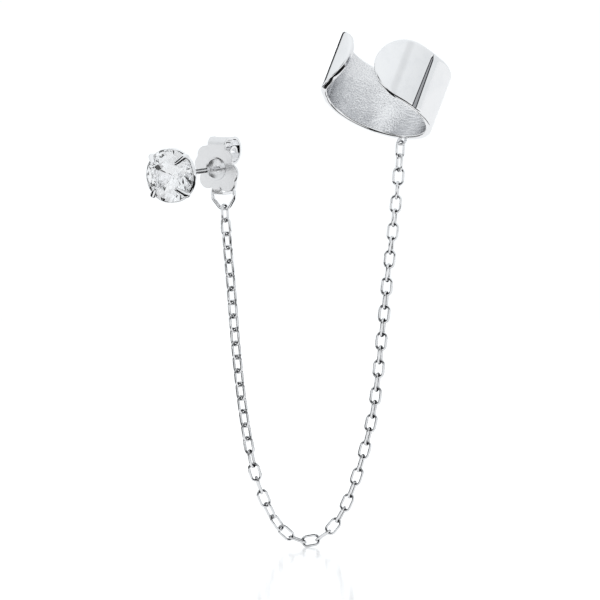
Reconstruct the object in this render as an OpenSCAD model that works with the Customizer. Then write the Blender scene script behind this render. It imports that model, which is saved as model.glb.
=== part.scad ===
// Ear chain earring: a stone stud, its butterfly nut with a ring, a cable chain and an ear cuff.
// Millimetres. Z is up, the front faces -Y, and the origin lies on the post where the ear lobe sits.

/* [Stone] */
// Diameter of the round stone across its girdle
stone_d = 6; // [4.5:0.1:7]
// Diameter of the flat table, from corner to corner
table_d = 3.4; // [2.4:0.1:4.2]
// Height of the crown, from the girdle to the table
crown_h = 0.9; // [0.6:0.05:1.2]
// Thickness of the girdle
girdle_t = 0.12; // [0.06:0.02:0.24]
// Depth of the pavilion, from the girdle to the point
pavilion_h = 2.55; // [2:0.05:3]

/* [Setting] */
// Radius of a prong's wire
prong_r = 0.34; // [0.26:0.01:0.4]
// Radius of a prong's tip, where it is filed thin
tip_r = 0.24; // [0.18:0.01:0.3]
// Radius at which a prong bends over the girdle, on its centre line
prong_bend = 0.41; // [0.36:0.01:0.5]
// How far a prong's knee stands out past the girdle, before it is bent
knee_out = 0.2; // [0.1:0.02:0.4]
// How far a prong's tip stops short of the table's corners
tip_back = 0.3; // [0.1:0.05:0.5]
// Distance of a prong's foot from the axis
foot_r = 0.9; // [0.7:0.05:1.1]
// Thickness of the round base plate
base_t = 0.35; // [0.25:0.05:0.6]
// Radius of the round base plate
base_r = 1.15; // [1:0.05:1.4]
// Radius of the wire of both gallery rings
rail_r = 0.27; // [0.2:0.01:0.32]
// Depth of the upper ring below the girdle
upper_rail_z = 0.7; // [0.5:0.05:1]
// Depth of the lower ring below the girdle
lower_rail_z = 2.05; // [1.6:0.05:2.3]
// Clearance between the stone and the metal that holds it
seat_gap = 0.03; // [0.02:0.01:0.06]
// Clearance between the stone's point and the base plate
point_gap = 0.09; // [0.05:0.01:0.3]

/* [Post] */
// Diameter of the post
post_d = 0.6; // [0.5:0.05:0.9]
// Length of the post behind the setting
post_l = 10; // [9:0.5:12]
// Radius of the solder fillet where the post meets the base plate
solder_r = 0.3; // [0.1:0.05:0.5]
// Room for the ear lobe, from the setting's back to the nut's plate
lobe_gap = 6.95; // [5:0.05:8]
// Turn of the stud to its left, seen from above
stud_turn = 31; // [0:1:45]
// Rise of the post towards its tip, in degrees
post_rise = 4.7; // [0:0.1:10]

/* [Butterfly nut] */
// Thickness of the nut's strip
nut_t = 0.3; // [0.2:0.05:0.35]
// Height of the upper scroll above the middle of the post
upper_h = 3.5; // [2.8:0.05:3.6]
// Height of the lower scroll below the middle of the post
lower_h = 2.95; // [2.8:0.05:3.6]
// Depth of the nut, from its plate to the back of its scrolls
nut_depth = 3.65; // [3.3:0.05:4]
// Width of the strip where it rolls back
neck_w = 2.2; // [1.6:0.1:2.4]
// Radius of the fold between the plate and a scroll, on its centre line
fold_r = 0.7; // [0.5:0.05:0.8]
// Radius of the round lobe on each side of the plate
side_lobe_r = 1.15; // [0.9:0.05:1.3]
// How far the left lobe sits above the middle, and the right one below it
lobe_shift = 0.45; // [0:0.05:0.6]
// Radius of the four corner lobes of the plate
corner_lobe_r = 1; // [0.8:0.05:1.1]
// Width of the plate over its side lobes
plate_w = 5.5; // [5:0.1:6]
// Width of the plate over its upper left and lower right corners
corner_w = 4.8; // [4.2:0.1:5.2]
// Height of the plate over the same corners
corner_h = 5; // [4.6:0.1:5.2]
// How much less the other two corners stand out, across and up
corner_less = 0.3; // [0:0.05:0.4]
// Radius of the round dish that leads to the hole
dish_r = 1.3; // [1:0.05:1.5]
// Depth of the dish
dish_depth = 0.35; // [0.2:0.05:0.8]
// Clearance between the post and the nut, all round
nut_gap = 0.05; // [0.03:0.01:0.08]
// Space between the layers of a scroll
scroll_space = 0.7; // [0.5:0.05:0.9]
// Roll of the nut on the post, clockwise from the front
nut_roll = 3; // [0:1:8]

/* [Ring] */
// Diameter of the ring's wire
ring_wire_d = 0.38; // [0.3:0.02:0.44]
// Width of the ring between its wire's centre lines
ring_w = 2.84; // [2.8:0.02:3.4]
// Height of the ring's upright sides
ring_side = 1; // [0.8:0.05:1.3]
// Height of the ring from its bar to the corner below, before that is rounded
ring_h = 2.85; // [2.6:0.05:3.2]
// How far the ring's lowest corner lies to the right of its middle
ring_lean = 0.25; // [0:0.05:0.4]
// Radius of the ring's two upper corners
ring_top_r = 0.45; // [0.3:0.05:0.5]
// Radius where the sides turn inwards
ring_side_r = 1; // [0.6:0.05:1.2]
// Radius of the bottom of the ring
ring_low_r = 0.95; // [0.4:0.05:1.1]
// Depth of the ring's bar behind the nut's plate
bar_back = 1.6; // [1.2:0.05:1.8]
// Clearance under the ring's bar in the scroll
bar_rest = 0.06; // [0.04:0.01:0.12]

/* [Chain] */
// Length of the chain along its curve
chain_l = 87.4; // [60:0.2:110]
// Pitch of the links that the chain is made up to
link_pitch = 1.53; // [1.4:0.01:1.7]
// Width of a link outside
link_w = 1.36; // [1.3:0.02:1.6]
// Diameter of a link's wire
link_wire_d = 0.28; // [0.24:0.01:0.3]
// Clearance between the wires of two links in a straight run
link_gap = 0.18; // [0.15:0.01:0.19]

/* [Cuff] */
// Outer diameter of the cuff's round part
cuff_d = 12.84; // [11:0.02:15]
// Thickness of the cuff's band
cuff_t = 0.72; // [0.5:0.02:1]
// Width of the cuff's band
cuff_w = 7; // [5.5:0.1:8.5]
// Angle from the middle of the gap to the crease where a lip starts
crease_at = 69; // [64:1:75]
// Angle by which a lip bends outwards at its crease
lip_bend = 7; // [4:1:12]
// Outer radius of a lip
lip_r = 5.6; // [5.2:0.05:5.9]
// Angle that a lip takes up around its own centre
lip_sweep = 63; // [58:1:64]
// How far back from its end a lip starts to be rounded
lip_round = 4.2; // [3:0.1:5]
// Outer diameter of the eyelet
eye_d = 1.25; // [1.15:0.01:1.5]
// Diameter of the eyelet's wire
eye_wire_d = 0.32; // [0.26:0.01:0.36]
// Depth of the eyelet's centre below the band's lower edge
eye_drop = 0.3; // [0.26:0.01:0.36]
// Place of the eyelet around the back of the band, in degrees
eye_at = 51.5; // [30:0.5:70]
// Turn of the cuff's gap around its axis, in degrees
gap_turn = -123.4; // [-140:0.2:-100]
// Lean of the cuff's axis to the right
cuff_lean = 20.8; // [0:0.2:40]
// Lean of the cuff's axis backwards
cuff_back = 20.4; // [0:0.2:40]
// Place of the middle of the cuff's lower rim, to the right of the post
cuff_x = 19.64; // [14:0.02:26]
// Place of the middle of the cuff's lower rim, behind the lobe
cuff_y = 0.42; // [-4:0.02:6]
// Height of the middle of the cuff's lower rim above the lobe
cuff_z = 6.57; // [0:0.02:20]

/* [Hidden] */
$fn = 48;

// Main facets of the stone; half facets lie between them
main_facets = 8;
// Share of the crown's width that the star facets take
star_share = 0.5;
// Share of the pavilion's width that the lower girdle facets take
lower_share = 0.77;
// Number of prongs
prongs = 4;
// Corner points of a link along its length, and of its wire around
link_sides = 12;
wire_sides = 6;
// Turn of the links about the chain: share of the length, then degrees from facing the front
LINK_TURNS = [[0, 59], [0.06, 45], [0.3, 45], [0.35, 90], [0.41, 135], [0.457, 180], [0.52, 198], [0.93, 198]];
// How far the chain hangs to the right of its free curve: share of the length, then millimetres
CHAIN_DRIFT = [
    [0, 0],
    [0.1, 0.06],
    [0.34, -0.5],
    [0.4, -0.44],
    [0.55, -0.44],
    [0.66, -0.12],
    [0.75, -0.34],
    [0.83, -0.36],
    [0.95, 0],
    [1, 0]
];
// Turn of the link that holds the eyelet, so that it stands across it
last_turn = 127;
// How far a cutter or a joined piece reaches past what it meets
over = 0.05;
// Degrees in a full turn and in a quarter of one
full_turn = 360;
quarter_turn = full_turn / 4;
// How far a rod's end lies inside a bend of the same wire, and how much thicker the bend is
tuck = 0.02;
bend_extra = 0.002;

stone_r = stone_d / 2;
table_r = table_d / 2;
post_r = post_d / 2;
crown_top = girdle_t / 2 + crown_h;
stone_point = girdle_t / 2 + pavilion_h;
// Height of the girdle's middle above the setting's back
girdle_h = stone_point + point_gap + base_t;

// Vectors and turns
function unit(v) = v / norm(v);
function turn_x(v, a) = [v.x, v.y * cos(a) - v.z * sin(a), v.y * sin(a) + v.z * cos(a)];
function turn_y(v, a) = [v.x * cos(a) + v.z * sin(a), v.y, v.z * cos(a) - v.x * sin(a)];
function turn_z(v, a) = [v.x * cos(a) - v.y * sin(a), v.x * sin(a) + v.y * cos(a), v.z];
function polar(r, a) = [r * cos(a), r * sin(a)];

// The stud's own frame: x to the right, y up, z out of the stone's table
module stud_frame() {
    rotate([quarter_turn + post_rise, 0, -stud_turn]) children();
}
function stud_point(p) = turn_z(turn_x(p, quarter_turn + post_rise), -stud_turn);

// The stone's girdle lies at z = 0, its table upwards
stone_step = full_turn / main_facets;
star_r = table_r * cos(stone_step / 2) + star_share * (stone_r - table_r * cos(stone_step / 2));
star_z = crown_top - (star_r * cos(stone_step / 2) - table_r) * crown_h / (stone_r - table_r);
lower_r = (1 - lower_share) * stone_r;
lower_z = -stone_point + lower_r * cos(stone_step / 2) * pavilion_h / stone_r;

function stone_ring(r, z, shift, n) = [for (k = [0:n - 1]) concat(polar(r, full_turn / n * (k + shift)), [z])];

module brilliant() {
    n = main_facets;
    points = concat(
        stone_ring(table_r, crown_top, 0, n),
        stone_ring(star_r, star_z, 0.5, n),
        stone_ring(stone_r, girdle_t / 2, 0, 2 * n),
        stone_ring(stone_r, -girdle_t / 2, 0, 2 * n),
        stone_ring(lower_r, lower_z, 0.5, n),
        [[0, 0, -stone_point]]
    );
    star = n;
    upper = 2 * n;
    lower = 4 * n;
    half = 6 * n;
    point = 7 * n;
    faces = concat(
        [[for (k = [n - 1:-1:0]) k]],
        [for (k = [0:n - 1]) [k, (k + 1) % n, star + k]],
        [for (k = [0:n - 1]) [k, star + k, upper + 2 * k, star + (k + n - 1) % n]],
        [for (k = [0:n - 1]) [star + k, upper + 2 * k + 1, upper + 2 * k]],
        [for (k = [0:n - 1]) [star + k, upper + (2 * k + 2) % (2 * n), upper + 2 * k + 1]],
        [for (k = [0:2 * n - 1]) [upper + k, upper + (k + 1) % (2 * n), lower + (k + 1) % (2 * n), lower + k]],
        [for (k = [0:n - 1]) [half + k, lower + 2 * k, lower + 2 * k + 1]],
        [for (k = [0:n - 1]) [half + k, lower + 2 * k + 1, lower + (2 * k + 2) % (2 * n)]],
        [for (k = [0:n - 1]) [point, half + (k + n - 1) % n, lower + 2 * k, half + k]]
    );
    polyhedron(points, faces, convexity = 2);
}

// The room that the stone takes in the metal: its outline turned round, and a clearance
module seat() {
    g = seat_gap;
    rotate_extrude() polygon([
        [0, -stone_point - g],
        [stone_r + g, -girdle_t / 2 - g],
        [stone_r + g, girdle_t / 2 + g],
        [table_r + g, crown_top + g],
        [0, crown_top + g]
    ]);
}

// A prong's centre line, as distance from the axis and height over the girdle
foot = [foot_r, max(base_t, prong_r + over) - girdle_h];
knee = [stone_r + knee_out, girdle_t / 2];
tip = [table_r + tip_back, crown_top];
leg_dir = unit(knee - foot);
claw_dir = unit(tip - knee);
leg_angle = atan2(leg_dir.y, leg_dir.x);
bend_angle = atan2(claw_dir.y, claw_dir.x) - leg_angle;
bend_run = prong_bend * tan(bend_angle / 2);
bend_from = knee - leg_dir * bend_run;
bend_to = knee + claw_dir * bend_run;
bend_centre = bend_from + prong_bend * [-leg_dir.y, leg_dir.x];

// A round rod or cone between two places in a prong's plane
module prong_rod(from, to, r1, r2) {
    run = to - from;
    translate([from.x, 0, from.y])
        rotate([0, atan2(run.x, run.y), 0])
            cylinder(h = norm(run), r1 = r1, r2 = r2);
}

module prong() {
    translate([foot.x, 0, foot.y]) sphere(r = prong_r + bend_extra);
    prong_rod(foot, bend_from + leg_dir * tuck, prong_r, prong_r);
    translate([bend_centre.x, 0, bend_centre.y])
        rotate([90, 0, 0])
            rotate_extrude(start = leg_angle - 90, angle = bend_angle)
                translate([prong_bend, 0]) circle(r = prong_r + bend_extra);
    prong_rod(bend_to - claw_dir * tuck, tip, prong_r, tip_r);
    translate([tip.x, 0, tip.y]) sphere(r = tip_r + bend_extra);
}

// Radii of the two gallery rings: the upper clears the pavilion, the lower joins the legs
pavilion_slant = norm([stone_r, pavilion_h]) / pavilion_h;
upper_rail_r = stone_r * (1 - (upper_rail_z - girdle_t / 2) / pavilion_h)
    + (rail_r + 2 * seat_gap) * pavilion_slant;
lower_rail_r = foot.x - (foot.y + lower_rail_z) * leg_dir.x / leg_dir.y;

module wire_ring(r, wire_r) {
    rotate_extrude() translate([r, 0]) circle(r = wire_r);
}

module post() {
    back = -girdle_h;
    translate([0, 0, back - post_l + post_r]) cylinder(h = post_l - post_r + base_t / 2, r = post_r);
    translate([0, 0, back - post_l + post_r]) sphere(r = post_r);
    translate([0, 0, back - solder_r]) cylinder(h = solder_r + over, r1 = post_r, r2 = post_r + solder_r + over);
}

module stone() {
    color("whitesmoke")
        stud_frame() translate([0, 0, lobe_gap / 2 + girdle_h]) brilliant();
}

module claw_setting() {
    color("silver")
        stud_frame() translate([0, 0, lobe_gap / 2 + girdle_h]) {
            difference() {
                union() {
                    translate([0, 0, -girdle_h]) cylinder(h = base_t, r = base_r);
                    translate([0, 0, -upper_rail_z]) wire_ring(upper_rail_r, rail_r);
                    translate([0, 0, -lower_rail_z]) wire_ring(lower_rail_r, rail_r);
                    for (k = [0:prongs - 1]) rotate([0, 0, full_turn / prongs * (k + 0.5)]) prong();
                    post();
                }
                seat();
            }
        }
}

// The nut's own frame: the front of its plate at z = 0, rolled on the post
module nut_frame() {
    stud_frame() translate([0, 0, -lobe_gap / 2]) rotate([0, 0, -nut_roll]) children();
}

hole_r = post_r + nut_gap;
// Height of a scroll's lowest layer above the post, on the strip's centre line
scroll_low = hole_r + nut_t / 2;
// Turn of the strip's end, inside the scroll
end_sweep = 100;

// Part of a rolled strip, drawn with x as depth behind the plate and y as height
module strip_bend(centre, r, from, sweep) {
    translate([centre.x, centre.y, -neck_w / 2])
        rotate_extrude(start = from, angle = sweep)
            translate([r - nut_t / 2, 0]) square([nut_t, neck_w]);
}

// The scroll at one end of the strip, with its outside at the given height
module scroll(h) {
    top = h - nut_t / 2;
    outer = (top - scroll_low) / 2;
    inner = outer - (nut_t + scroll_space) / 2;
    end = inner - nut_t;
    back = nut_depth - nut_t / 2 - outer;
    fold = nut_t / 2 + fold_r;
    rotate([0, 90, 0]) {
        strip_bend([fold, top - fold_r], fold_r, 90, 90);
        translate([fold, top - nut_t / 2, -neck_w / 2]) cube([back - fold, nut_t, neck_w]);
        strip_bend([back, scroll_low + outer], outer, -90, 180);
        strip_bend([back, scroll_low + inner], inner, 90, 180);
        strip_bend([back, scroll_low + 2 * inner - end], end, quarter_turn - end_sweep, end_sweep);
    }
}

// One half of the plate's outline; the other half is the same, turned round
module plate_half() {
    x = corner_w / 2 - corner_lobe_r;
    y = corner_h / 2 - corner_lobe_r;
    translate([-x, y]) circle(r = corner_lobe_r);
    translate([x - corner_less, y - corner_less]) circle(r = corner_lobe_r);
    translate([side_lobe_r - plate_w / 2, lobe_shift]) circle(r = side_lobe_r);
    translate([side_lobe_r - plate_w / 2, -y + corner_less]) square([plate_w - 2 * side_lobe_r, y - corner_less]);
}

module plate_outline() {
    fold_up = upper_h - nut_t / 2 - fold_r;
    fold_down = lower_h - nut_t / 2 - fold_r;
    translate([-neck_w / 2, -fold_down]) square([neck_w, fold_up + fold_down]);
    plate_half();
    rotate(180) plate_half();
}

module nut_plate() {
    difference() {
        translate([0, 0, -nut_t]) linear_extrude(nut_t) plate_outline();
        translate([0, 0, -nut_t - over]) cylinder(h = nut_t + 2 * over, r = dish_r);
    }
    rotate_extrude() polygon([
        [hole_r, -dish_depth],
        [dish_r, 0],
        [dish_r + over, 0],
        [dish_r + over, -nut_t],
        [dish_r, -nut_t],
        [hole_r, -dish_depth - nut_t]
    ]);
}

module butterfly_nut() {
    color("gainsboro")
        nut_frame() {
            nut_plate();
            scroll(upper_h);
            mirror([0, 1, 0]) scroll(lower_h);
        }
}

// The ring: its bar lies in the lower scroll, and its corners are drawn clockwise from there
ring_wire_r = ring_wire_d / 2;
bar_low = lower_h - nut_t - ring_wire_r - bar_rest - neck_w / 2 * sin(nut_roll);
bar_at = stud_point(concat(
    [-bar_low * sin(nut_roll), -bar_low * cos(nut_roll)],
    [-lobe_gap / 2 - bar_back]
));
RING_CORNERS = [
    [-ring_w / 2, 0],
    [ring_w / 2, 0],
    [ring_w / 2, -ring_side],
    [ring_lean, -ring_h],
    [-ring_w / 2, -ring_side]
];
RING_RADII = [ring_top_r, ring_top_r, ring_side_r, ring_low_r, ring_side_r];

// Turn from one side of a corner to the next, clockwise, and how far its bend runs along each side
function corner_in(pts, i) = unit(pts[i] - pts[(i + len(pts) - 1) % len(pts)]);
function corner_out(pts, i) = unit(pts[(i + 1) % len(pts)] - pts[i]);
function corner_turn(pts, i) = acos(corner_in(pts, i) * corner_out(pts, i));
function corner_run(pts, radii, i) = radii[i] * tan(corner_turn(pts, i) / 2);
function corner_centre(pts, radii, i) =
    let (way = corner_in(pts, i))
    pts[i] - way * corner_run(pts, radii, i) + radii[i] * [way.y, -way.x];

// A closed loop of round wire with rounded corners, in the XY plane
module wire_loop(pts, radii, wire_r) {
    n = len(pts);
    for (i = [0:n - 1]) {
        way_in = corner_in(pts, i);
        way_out = corner_out(pts, i);
        run = corner_run(pts, radii, i);
        next_run = corner_run(pts, radii, (i + 1) % n);
        side = norm(pts[(i + 1) % n] - pts[i]);
        heading = atan2(way_in.y, way_in.x);
        translate(corner_centre(pts, radii, i))
            rotate_extrude(start = heading + 90 - corner_turn(pts, i), angle = corner_turn(pts, i))
                translate([radii[i], 0]) circle(r = wire_r + bend_extra);
        translate(pts[i] + way_out * (run - tuck))
            rotate([0, 90, atan2(way_out.y, way_out.x)])
                cylinder(h = side - run - next_run + 2 * tuck, r = wire_r);
    }
}

module nut_ring() {
    color("silver")
        translate(bar_at) rotate([90, 0, -stud_turn]) wire_loop(RING_CORNERS, RING_RADII, ring_wire_r);
}

// The cuff's own frame: x to the right, y to the back, z along its axis, up from the lower rim
module cuff_frame() {
    translate([cuff_x, cuff_y, cuff_z]) rotate([0, cuff_lean, 0]) rotate([-cuff_back, 0, 0]) children();
}
function cuff_point(p) = [cuff_x, cuff_y, cuff_z] + turn_y(turn_x(p, -cuff_back), cuff_lean);

cuff_r = cuff_d / 2;
lip_centre = polar(cuff_r, crease_at) - polar(lip_r, crease_at + lip_bend);
// How far the lip's arc reaches back under the crease, so that no wedge stays open inside
lip_root = 3;
lip_from = crease_at + lip_bend - lip_sweep;
round_angle = lip_round / lip_r * 180 / PI;
round_mid = lip_from + round_angle / 2;
round_half = lip_r * sin(round_angle / 2);
eye_wire_r = eye_wire_d / 2;
eye_r = eye_d / 2 - eye_wire_r;
eye_mid = concat(polar(cuff_r - cuff_t / 2, eye_at), [-eye_drop]);

module band_arc(r, from, sweep) {
    rotate_extrude(start = from, angle = sweep) translate([r - cuff_t, 0]) square([cuff_t, cuff_w]);
}

// One lip, on the upper side of the gap when the gap faces +X
module lip() {
    translate(lip_centre)
        difference() {
            band_arc(lip_r, lip_from, lip_sweep + lip_root);
            rotate([0, 0, round_mid]) lip_trim();
        }
}

// How far the block that rounds a lip reaches past the lip's edges and end
trim_over = 1;

// What is cut off a lip's end to round it: a block with an oval taken out of it
module lip_trim() {
    reach = 2 * round_half + trim_over;
    difference() {
        translate([lip_r - 3 * cuff_t, round_half - reach, -trim_over])
            cube([4 * cuff_t, reach, cuff_w + 2 * trim_over]);
        translate([0, round_half, cuff_w / 2])
            scale([1, 4 * round_half / cuff_w, 1])
                rotate([0, 90, 0]) cylinder(h = 2 * lip_r, r = cuff_w / 2);
    }
}

module ear_cuff() {
    color("lightgray")
        cuff_frame() {
            rotate([0, 0, gap_turn]) {
                band_arc(cuff_r, crease_at, full_turn - 2 * crease_at);
                lip();
                mirror([0, 1, 0]) lip();
            }
            translate(eye_mid) rotate([0, 90, eye_at]) wire_ring(eye_r, eye_wire_r);
        }
}

// The chain hangs in an upright plane from the ring's bottom to the eyelet's bottom.
// Each end point is where the two wires would touch, half a clearance above the lower wire.
link_r = link_wire_d / 2;
ring_low = corner_centre(RING_CORNERS, RING_RADII, 3) - [0, ring_low_r];
chain_start = bar_at + turn_z([ring_low.x, 0, ring_low.y + ring_wire_r + link_gap / 2], -stud_turn);
chain_end = cuff_point(eye_mid - [0, 0, eye_r]) + [0, 0, eye_wire_r + link_gap / 2];
chain_way = unit([chain_end.x - chain_start.x, chain_end.y - chain_start.y]);
chain_span = norm([chain_end.x - chain_start.x, chain_end.y - chain_start.y]);
chain_rise = chain_end.z - chain_start.z;

// Hyperbolic functions, with plain numbers in place of angles
function sinh(x) = (exp(x) - exp(-x)) / 2;
function cosh(x) = (exp(x) + exp(-x)) / 2;
function asinh(x) = ln(x + sqrt(x * x + 1));
function atanh(x) = ln((1 + x) / (1 - x)) / 2;

// The hanging curve's scale, halved in on between two bounds: the slack falls as the scale grows
slack = sqrt(chain_l * chain_l - chain_rise * chain_rise);
function curve_scale(lo, hi, turns) =
    let (mid = (lo + hi) / 2)
    turns == 0 ? mid
        : 2 * mid * sinh(chain_span / 2 / mid) > slack ? curve_scale(mid, hi, turns - 1)
        : curve_scale(lo, mid, turns - 1);
curve_a = curve_scale(chain_span / 40, chain_span * 4, 50);
curve_mid = curve_a * atanh(chain_rise / chain_l);
curve_from = curve_mid - chain_span / 2;
length_from = curve_a * sinh(curve_from / curve_a);
height_from = curve_a * cosh(curve_from / curve_a);

// Place of the chain at a length from the ring, as distance along the plane and height
function curve_at(s) =
    let (x = curve_a * asinh((length_from + s) / curve_a), drift = lookup(s / chain_l, CHAIN_DRIFT))
    [x - curve_from + drift, curve_a * cosh(x / curve_a) - height_from];

links = round(chain_l / link_pitch);
pitch = chain_l / links;
end_turn = last_turn + quarter_turn * ((links - 1) % 2);
turns = concat(LINK_TURNS, [[1, end_turn]]);
function link_turn(share) = lookup(share, turns);

// A link's centre line: two half rounds and two straight sides, corner by corner
link_bow = link_w / 2 - link_r;
link_reach = (pitch + link_wire_d + link_gap) / 2 - link_bow;
half_sides = link_sides / 2;
function link_corner(j) =
    let (end = j < half_sides ? 1 : -1, a = (j % half_sides) * 180 / (half_sides - 1))
    end * [link_reach + link_bow * sin(a), link_bow * cos(a)];
// The way out of the link at a corner, square to its wire
function link_out(j) =
    let (end = j < half_sides ? 1 : -1, a = (j % half_sides) * 180 / (half_sides - 1))
    end * [sin(a), cos(a)];

// One link's points: along is its long way, across its wide way, through its thin way
function link_points(centre, along, across, through) = [
    for (j = [0:link_sides - 1], i = [0:wire_sides - 1])
        let (
            c = link_corner(j),
            o = link_out(j),
            a = full_turn / wire_sides * (i + 0.5),
            line = centre + along * c.x + across * c.y,
            out = along * o.x + across * o.y
        )
        line + link_r * (out * cos(a) + through * sin(a))
];
function link_faces(first) = [
    for (j = [0:link_sides - 1], i = [0:wire_sides - 1])
        let (
            row = first + j * wire_sides,
            next = first + (j + 1) % link_sides * wire_sides,
            k = (i + 1) % wire_sides
        )
        [row + i, next + i, next + k, row + k]
];

module chain() {
    points = [
        for (k = [0:links - 1])
            let (
                a = curve_at(k * pitch),
                b = curve_at((k + 1) * pitch),
                mid = (a + b) / 2,
                way = unit(b - a),
                centre = chain_start + [chain_way.x * mid.x, chain_way.y * mid.x, mid.y],
                along = [chain_way.x * way.x, chain_way.y * way.x, way.y],
                up = [-chain_way.x * way.y, -chain_way.y * way.y, way.x],
                side = cross(along, up),
                turn = link_turn((k + 0.5) / links) + quarter_turn * (k % 2),
                across = up * cos(turn) - side * sin(turn),
                through = cross(along, across)
            )
            each link_points(centre, along, across, through)
    ];
    faces = [for (k = [0:links - 1]) each link_faces(k * link_sides * wire_sides)];
    color("silver") polyhedron(points, faces, convexity = 10);
}

stone();
claw_setting();
butterfly_nut();
nut_ring();
chain();
ear_cuff();
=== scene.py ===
"""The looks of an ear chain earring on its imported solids: silver, a clear cut stone and a hanging chain."""

import math

import bmesh
import bpy
import numpy as np
from mathutils import Matrix, Vector


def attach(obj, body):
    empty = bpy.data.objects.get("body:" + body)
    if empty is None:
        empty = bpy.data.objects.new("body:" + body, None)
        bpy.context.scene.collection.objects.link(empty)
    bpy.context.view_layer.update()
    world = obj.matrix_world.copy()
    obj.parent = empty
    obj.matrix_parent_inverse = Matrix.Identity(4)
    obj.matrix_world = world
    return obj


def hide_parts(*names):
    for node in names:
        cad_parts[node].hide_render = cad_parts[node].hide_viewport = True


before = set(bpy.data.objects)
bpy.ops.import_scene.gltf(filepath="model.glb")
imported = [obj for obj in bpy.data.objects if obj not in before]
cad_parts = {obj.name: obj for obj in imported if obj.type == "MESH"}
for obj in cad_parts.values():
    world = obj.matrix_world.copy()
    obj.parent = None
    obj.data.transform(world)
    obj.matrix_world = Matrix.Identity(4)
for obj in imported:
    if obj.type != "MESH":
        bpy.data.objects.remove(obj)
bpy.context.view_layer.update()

# Sizes are in millimetres, and each piece is made in its own frame and then put in its place
MM = 0.001
TURN = 2 * math.pi
HALF_TURN = math.pi
QUARTER_TURN = math.pi / 2

# The photograph: its sides and scale, and where the frame's origin lies in it
PHOTO_SIDE = 600
PIXELS_PER_MM = 9.0
ORIGIN_PIXEL = (199.9, 171.2)
CAMERA_AWAY = 3000
FLOOR_PIXEL = 547.5
FLOOR_SIDE = 60000

# Points closer than MERGE are one, a cut nearer than CUT_NEAR to a corner goes through it, and a dome stops
# this share of a step short of its pole
MERGE = 1e-4
CUT_NEAR = 1e-5
POLE_LEFT = 0.4

# How far behind a plate its own finish reaches, and how squarely a face must look to count as a flat side
FINISH_LAP = 0.05
FLAT_SIDE = 0.99

# The stud
STUD_TURN = math.radians(31)
POST_RISE = math.radians(4.7)
LOBE_GAP = 6.95
BASE_THICK = 0.35
BASE_R = 1.15
STONE_R = 3.0
TABLE_R = 1.7
CROWN = 0.9
GIRDLE = 0.12
PAVILION = 2.55
POINT_GAP = 0.09
STAR_SHARE = 0.5
LOWER_SHARE = 0.77
MAIN_FACETS = 8
FACET_FLAT = math.radians(0.3)
FACET_EDGE = math.radians(6)
PRONGS = 4
PRONG_R = 0.34
TIP_R = 0.24
PRONG_BEND = 0.41
KNEE_OUT = 0.2
TIP_BACK = 0.3
FOOT_R = 0.9
RAIL_R = 0.27
UPPER_RAIL = 0.7
LOWER_RAIL = 2.05
SEAT_GAP = 0.03
POST_R = 0.3
POST_LONG = 10
SOLDER_R = 0.3
FOOT_SUNK = 0.04
BASE_EDGE = 0.08

# The butterfly nut
NUT_THICK = 0.3
UPPER_HIGH = 3.5
LOWER_HIGH = 2.95
NUT_DEEP = 3.65
NECK_WIDE = 2.2
FOLD_R = 0.7
SIDE_LOBE_R = 1.15
LOBE_SHIFT = 0.45
CORNER_LOBE_R = 1.0
PLATE_WIDE = 5.5
CORNER_WIDE = 4.8
CORNER_HIGH = 5.0
CORNER_LESS = 0.3
DISH_R = 1.3
DISH_DEEP = 0.3
DISH_WALL = 0.12
HOLE_R = 0.35
NUT_EDGE = 0.05
SCROLL_SPACE = 0.7
SCROLL_END = math.radians(100)
NUT_ROLL = math.radians(3)

# The ring in the nut's lower scroll
RING_WIRE_R = 0.19
RING_WIDE = 2.84
RING_SIDE = 1.0
RING_HIGH = 2.85
RING_LEAN = 0.25
RING_RADII = (0.45, 0.45, 1.0, 0.95, 1.0)
BAR_BACK = 1.6
BAR_REST = 0.06

# The chain's links
LINK_WIDE = 1.36
LINK_WIRE_R = 0.14

# The cuff
CUFF_R = 6.42
CUFF_THICK = 0.72
CUFF_WIDE = 7.0
CUFF_EDGE = 0.22
CREASE_AT = math.radians(69)
LIP_BEND = math.radians(7)
LIP_R = 5.6
LIP_SWEEP = math.radians(63)
LIP_ROUND = 4.2
CREASE_IN = math.radians(16)
CREASE_R = 0.7
CREASE_SHIFT = 0.1
KNUCKLE_R = 1.3
EYE_R = 0.465
EYE_WIRE_R = 0.16
EYE_DROP = 0.3
EYE_AT = math.radians(51.5)
GAP_TURN = math.radians(-123.4)
CUFF_LEAN = math.radians(20.8)
CUFF_BACK = math.radians(20.4)
CUFF_PLACE = (19.64, 0.42, 6.57)


# Frames of the pieces, in millimetres

def turned(angle, axis):
    return Matrix.Rotation(angle, 4, axis)


def moved(*place):
    return Matrix.Translation(Vector(place))


def aimed(way):
    """A turn that points Z along a way."""
    return Vector(way).to_track_quat("Z", "Y").to_matrix().to_4x4()


IN_METRES = Matrix.Scale(MM, 4)
STUD = turned(-STUD_TURN, "Z") @ turned(QUARTER_TURN + POST_RISE, "X")
STONE_POINT = GIRDLE / 2 + PAVILION
CROWN_TOP = GIRDLE / 2 + CROWN
GIRDLE_HIGH = STONE_POINT + POINT_GAP + BASE_THICK
STONE_FRAME = STUD @ moved(0, 0, LOBE_GAP / 2 + GIRDLE_HIGH)
NUT_FRAME = STUD @ moved(0, 0, -LOBE_GAP / 2) @ turned(-NUT_ROLL, "Z")
CUFF_FRAME = moved(*CUFF_PLACE) @ turned(CUFF_LEAN, "Y") @ turned(-CUFF_BACK, "X")


# Helpers for making metal

def all_of(bm):
    """Everything in a mesh, for the operators that cut it."""
    return bm.verts[:] + bm.edges[:] + bm.faces[:]


def verts_of(geometry):
    return [g for g in geometry if isinstance(g, bmesh.types.BMVert)]


def polar(radius, angle):
    """The flat point at a radius and an angle."""
    return Vector((radius * math.cos(angle), radius * math.sin(angle)))


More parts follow.
